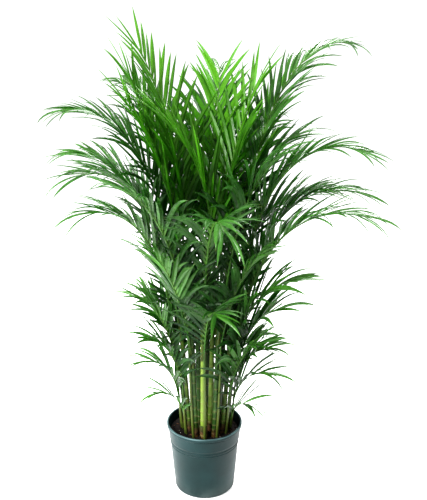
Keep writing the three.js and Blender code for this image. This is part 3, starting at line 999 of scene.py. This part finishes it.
def rib_curve(frond):
    """Centres in mm with the directions forward, across and above, from the foot to the tip."""
    kind, cane_number, at, heading, lean_tip, curl, length, _ = frond
    cane = CANES[cane_number - 1]
    foot, direction = cane_axis(cane)
    turn = math.radians(heading)
    out = np.array([math.cos(turn), math.sin(turn), 0.0])
    across = np.array([-math.sin(turn), math.cos(turn), 0.0])
    lean_foot = math.degrees(direction @ out) + KINDS[kind]["parting"]
    centre = foot + direction * at
    centre = centre + out * (cane_radius(cane, at) + PETIOLE_RADIUS + CANE_CLEARANCE)
    share = np.linspace(0, 1, RIB_STEPS + 1)
    lean = np.radians(lean_foot + (lean_tip - lean_foot) * share**curl)
    forward = np.outer(np.sin(lean), out) + np.outer(np.cos(lean), UP)
    above = np.cross(forward, across)
    steps = forward[:-1] * (length / RIB_STEPS)
    centres = np.vstack([centre, centre + np.cumsum(steps, axis=0)])
    return centres, forward, np.tile(across, (RIB_STEPS + 1, 1)), above


# %% A rib with its sheath
SHEATH_SHARE = {"crown": 0.16, "arching": 0.15}  # of the frond's length
STEM_ROOT = 20  # how far a side shoot's stem reaches into the soil
STEM_BOW = 2.5  # how far it bows out from the cane beside it
STEM_SWELL = 0.7  # how much thicker it is at its foot
# The sheath where it clasps the cane, as shares of the cane's radius.
CLASP_OFFSET, CLASP_WIDTH, CLASP_DEPTH = 0.5, 1.06, 0.62


def rib_mesh(frond, curve):
    """Corner places of the rib, bent along its curve, with the sheath that clasps the cane."""
    kind, cane_number, at = frond[:3]
    cane = CANES[cane_number - 1]
    centres, forward, across, above = curve
    foot, direction = cane_axis(cane)
    out = np.cross(across[0], UP)
    slim = KINDS[kind]["slim"]
    share = np.linspace(0, 1, RIB_STEPS + 1)
    radius = mix(PETIOLE_RADIUS, RIB_TIP_RADIUS, share) * slim
    down = np.linspace(1, 0, SHEATH_STEPS + 1)[:-1]
    reach = at + STEM_ROOT if kind == "low" else frond[6] * SHEATH_SHARE[kind]
    levels = at - down * reach
    on_cane = np.array([cane_radius(cane, level) for level in levels])
    clasp = np.sin(down * math.pi / 2)
    start = cane_radius(cane, at) + PETIOLE_RADIUS + CANE_CLEARANCE
    offset = mix(start, on_cane * CLASP_OFFSET, clasp)
    wide = mix(radius[0], on_cane * CLASP_WIDTH, clasp)
    deep = mix(radius[0], on_cane * CLASP_DEPTH, clasp)
    if kind == "low":
        offset = start + STEM_BOW * np.sin(down * math.pi)
        wide = deep = radius[0] * (1 + STEM_SWELL * down)
    sheath_centres = foot + levels[:, None] * direction + offset[:, None] * out
    width = np.concatenate([wide, radius])
    depth = np.concatenate([deep, radius])
    first = len(down)
    centres = np.vstack([sheath_centres, centres])
    across = np.vstack([np.tile(across[0], (first, 1)), across])
    above = np.vstack([np.tile(-out, (first, 1)), above])
    ring = rib_ring
    side = rib_corners[:, 0] * width[ring]
    top = rib_corners[:, 1] * depth[ring]
    places = centres[ring] + across[ring] * side[:, None] + above[ring] * top[:, None]
    return places, ring / rib_rings


# %% A leaflet on the rib
ROOT_TWIST = 0.35  # the share of a leaflet's twist that is at its root
ROOT_INSET = 0.4  # how far out on the rib it starts, as a share of the rib's radius
TIP_SAG = 1.25  # how much more than its sag its tip bends
MOST_DROOP = 0.96  # it stops bending short of hanging straight down


def turned(vectors, axes, angles):
    """Vectors turned about axes by angles, by the usual formula."""
    cosine = np.cos(angles)[..., None]
    sine = np.sin(angles)[..., None]
    dot = np.sum(vectors * axes, axis=-1, keepdims=True)
    return vectors * cosine + np.cross(axes, vectors) * sine + axes * dot * (1 - cosine)


def leaflet_mesh(place, side, length, width, spread, rise, sag, twist, hook):
    """Corner places of one leaflet, bent along its own sagging line."""
    centre, forward, across, above, radius = place
    spread, rise = math.radians(spread), math.radians(rise)
    away = across * (side * math.cos(rise)) + above * math.sin(rise)
    first = forward * math.cos(spread) + away * math.sin(spread)
    edge = unit(forward - first * (forward @ first))
    normal = np.cross(first, edge) * side
    hinge = unit(np.cross(first, UP))
    most = math.acos(max(-1.0, min(1.0, -first[2]))) * MOST_DROOP
    shares = np.linspace(0, 1, len(LEAFLET_WIDTHS) + 1)
    bend = -np.minimum(math.radians(sag) * TIP_SAG * shares**hook, most)
    hinges = np.tile(hinge, (len(shares), 1))
    direction, edges, normals = (
        turned(np.tile(one, (len(shares), 1)), hinges, bend) for one in (first, edge, normal)
    )
    roll = math.radians(twist) * (ROOT_TWIST + (1 - ROOT_TWIST) * shares)
    edges, normals = turned(edges, direction, roll), turned(normals, direction, roll)
    root = centre + across * (side * radius * ROOT_INSET)
    middles = (direction[:-1] + direction[1:]) / 2 * (length * (shares[1] - shares[0]))
    line = np.vstack([root, root + np.cumsum(middles, axis=0)])
    ring = leaflet_ring
    sideways = leaflet_corners[:, 1] * width * side
    upwards = leaflet_corners[:, 2] * width
    return line[ring] + edges[ring] * sideways[:, None] + normals[ring] * upwards[:, None]


# %% A whole frond
REFERENCE_LENGTH = 240  # mm: a leaflet this long has its kind's full width
LAST_LEAFLETS = 0.98  # where along the rib the last pair is
SHORTEST_SHARE = 0.6  # the length of the last leaflets, as a share of the longest
FULL_LENGTH_EARLY = 0.15  # how far before the middle of the row the longest are
# What chance changes from leaflet to leaflet. The hook is how late along it the bend comes.
ROW_PLACE, ROW_SHIFT = 0.85, 0.15
LENGTH_CHANGE, WIDTH_CHANGE = (0.93, 1.04), (0.9, 1.06)
SPREAD_CHANGE, RISE_CHANGE = 8, 12
SAG_CHANGE, HOOK_RANGE = (0.4, 1.7), (1.0, 2.4)


def on_curve(curve, share, slim):
    """The place on a rib at a share of its length."""
    at = share * RIB_STEPS
    i = min(int(at), RIB_STEPS - 1)
    part = at - i
    centres, forward, across, above = (rows[i] * (1 - part) + rows[i + 1] * part for rows in curve)
    radius = mix(PETIOLE_RADIUS, RIB_TIP_RADIUS, share) * slim
    return centres, unit(forward), across, unit(above), radius


def grow_frond(number, frond):
    """The piece of one frond, and which of its two finishes each of its faces has."""
    kind, length, longest = frond[0], frond[6], frond[7]
    traits = KINDS[kind]
    curve = rib_curve(frond)
    places, along = rib_mesh(frond, curve)
    corners, faces = [places], list(rib_faces)
    tones, flat = [np.full(len(places), chance.random())], [np.stack([along, along * 0], axis=1)]
    pairs = round(length * (1 - traits["bare"]) / traits["pitch"])
    frond_tone = chance.random()
    for i in range(pairs):
        for side in (-1, 1):
            share = (i + ROW_PLACE + chance.uniform(-ROW_SHIFT, ROW_SHIFT)) / pairs
            place = on_curve(curve, mix(traits["bare"], LAST_LEAFLETS, share), traits["slim"])
            swell = math.sin(math.pi * min(1, share + FULL_LENGTH_EARLY))
            reach = longest * mix(SHORTEST_SHARE, 1, swell)
            reach *= chance.uniform(*LENGTH_CHANGE)
            blade_width = traits["width"] * math.sqrt(reach / REFERENCE_LENGTH)
            leaf = leaflet_mesh(
                place, side, reach, blade_width * chance.uniform(*WIDTH_CHANGE),
                mix(*traits["spread"], share) + chance.uniform(-SPREAD_CHANGE, SPREAD_CHANGE),
                mix(*traits["rise"], share) + chance.uniform(-RISE_CHANGE, RISE_CHANGE),
                traits["sag"] * chance.uniform(*SAG_CHANGE),
                chance.uniform(-traits["twist"], traits["twist"]),
                chance.uniform(*HOOK_RANGE),
            )
            base = sum(len(c) for c in corners)
            corners.append(leaf)
            faces.extend(tuple(base + k for k in face) for face in leaflet_faces)
            # Half chance, half place on the rib: painted shade near its foot, painted highlight
            # near its tip.
            tone = mix(mix(chance.random(), frond_tone, 0.5), share, 0.5)
            tones.append(np.full(len(leaf), tone))
            flat.append(np.stack([leaflet_corners[:, 0], leaflet_corners[:, 1] + 0.5], axis=1))
    places = np.concatenate(corners) * MM
    piece = mesh_piece(f"frond_{number:02d}_{kind}", places, faces, 38)
    set_attribute(piece, "tone", np.concatenate(tones))
    maps = np.concatenate(flat)
    layer = piece.data.uv_layers.new(name="along_and_across")
    loops = np.zeros(len(piece.data.loops), int)
    piece.data.loops.foreach_get("vertex_index", loops)
    layer.data.foreach_set("uv", maps[loops].astype(np.float32).ravel())
    material = np.ones(len(faces), int)
    material[len(rib_faces):] = 0
    return piece, material


# %% [markdown]
# A young leaflet is a bright, slightly glossy green, and light glows through it. Older ones are
# deep green. Along each frond the leaflets are painted darker near the rib's foot, as shade in the
# middle of the clump, and paler towards its tip, as a painted highlight. A pale bluish sheen, a
# painted reflection, is mixed into the colour in random patches. Fine parallel veins run along
# every leaflet, its fold is a paler line, its root is yellower, and its tip is often dry and brown.


# %% Leaf finishes
LEAF_FOLD = (0.16, 0.30, 0.05, 1)
LEAF_ROOT = (0.16, 0.28, 0.05, 1)
LEAF_DRY = (0.21, 0.13, 0.045, 1)


def leaf(name, dark, light, painted_sheen, glow, glow_share, gloss):
    finish = Finish(name, {"Specular IOR Level": 0.42})
    place = finish.place()
    flat = finish.place("UV")
    along = finish.part(flat, "X")
    over = finish.part(flat, "Y")
    tone = finish.attribute("tone")
    mottle = finish.noise(place, 22, 3, 0.6)
    streaks = finish.noise(flat, 1.0, 2, 0.6, (2, 46, 1))
    from_fold = finish.node("ShaderNodeMath", {"operation": "ABSOLUTE"}, {0: over - 0.5})
    fold = finish.ramp(from_fold, 0.05, 0.01)
    # Dark to light by tone: chance variation, plus painted shade near each rib's foot and painted
    # highlight near its tip.
    tint = finish.blend(finish.ramp(tone * 0.8 + mottle * 0.4, 0.3, 1.05), dark, light)
    # Painted sheen: a pale bluish green mixed into the colour in random patches, as a painted
    # reflection.
    tint = finish.blend(finish.ramp(mottle, 0.5, 0.75) * 0.25, tint, painted_sheen)
    tint = finish.blend(finish.ramp(streaks, 0.45, 0.7) * 0.25, tint, dark)
    tint = finish.blend(fold * 0.3, tint, LEAF_FOLD)
    tint = finish.blend(finish.ramp(along, 0.12, 0.0) * 0.4, tint, LEAF_ROOT)
    dry = finish.ramp(along + tone * 0.06, 0.985, 1.03)
    tint = finish.blend(dry, tint, LEAF_DRY)
    finish.colour(tint)
    finish.roughness(finish.ramp(mottle, 0.3, 0.7, gloss, gloss + 0.14) + dry * 0.3)
    finish.relief(streaks + fold * 0.6, 0.0006, 0.55)
    finish.glow_through(glow_share, glow)
    return finish


LEAVES = {
    "crown": leaf(
        "crown_leaf", dark=(0.008, 0.062, 0.004, 1), light=(0.125, 0.37, 0.018, 1),
        painted_sheen=(0.17, 0.43, 0.06, 1), glow=(0.24, 0.66, 0.03, 1), glow_share=0.36, gloss=0.28,
    ),
    "arching": leaf(
        "arching_leaf", dark=(0.003, 0.022, 0.004, 1), light=(0.086, 0.250, 0.042, 1),
        painted_sheen=(0.13, 0.30, 0.13, 1), glow=(0.15, 0.50, 0.06, 1), glow_share=0.32, gloss=0.22,
    ),
    "low": leaf(
        "low_leaf", dark=(0.003, 0.024, 0.005, 1), light=(0.085, 0.262, 0.030, 1),
        painted_sheen=(0.11, 0.28, 0.09, 1), glow=(0.12, 0.46, 0.03, 1), glow_share=0.30, gloss=0.24,
    ),
}

# %% [markdown]
# A rib is green and smooth, older and duller towards its foot and yellower towards its tip, with
# fine streaks along it.

# %% Rib finish
rib_skin = Finish("rib_skin", {"Specular IOR Level": 0.3})
rib_place = rib_skin.place()
rib_along = rib_skin.part(rib_skin.place("UV"), "X")
rib_streaks = rib_skin.noise(rib_place, 500, 2, 0.6, (1, 1, 0.12))
rib_patches = rib_skin.noise(rib_place, 26, 3, 0.6)
RIB_GREEN = (0.030, 0.105, 0.012, 1)
RIB_YELLOW = (0.050, 0.135, 0.016, 1)
RIB_OLD = (0.060, 0.082, 0.012, 1)
RIB_STREAK = (0.05, 0.13, 0.02, 1)
towards_tip = rib_skin.ramp(rib_along + rib_patches * 0.5, 0.35, 0.95)
towards_foot = rib_skin.ramp(rib_along + rib_patches * 0.1, 0.24, 0.1)
rib_tint = rib_skin.blend(towards_tip, RIB_GREEN, RIB_YELLOW)
rib_tint = rib_skin.blend(towards_foot, rib_tint, RIB_OLD)
rib_tint = rib_skin.blend(rib_skin.ramp(rib_streaks, 0.5, 0.75) * 0.3, rib_tint, RIB_STREAK)
rib_skin.colour(rib_tint)
rib_skin.roughness(rib_skin.ramp(rib_patches, 0.3, 0.7, 0.34, 0.5))
rib_skin.relief(rib_streaks, 0.0004, 0.5)

# %% Grow them all
SLOTS = {"crown": "crown_leaf", "arching": "arching_leaf", "low": "low_leaf"}
leaflet_faces_made = 0
for i, frond in enumerate(FRONDS):
    piece, material = grow_frond(i + 1, frond)
    dress(piece, [LEAVES[frond[0]], rib_skin], SLOTS[frond[0]], f"frond_{i + 1:02d}")
    piece.data.polygons.foreach_set("material_index", material.astype(np.int32))
    leaflet_faces_made += len(material) - len(rib_faces)
print("fronds:", len(FRONDS), "leaflets:", leaflet_faces_made // len(leaflet_faces))
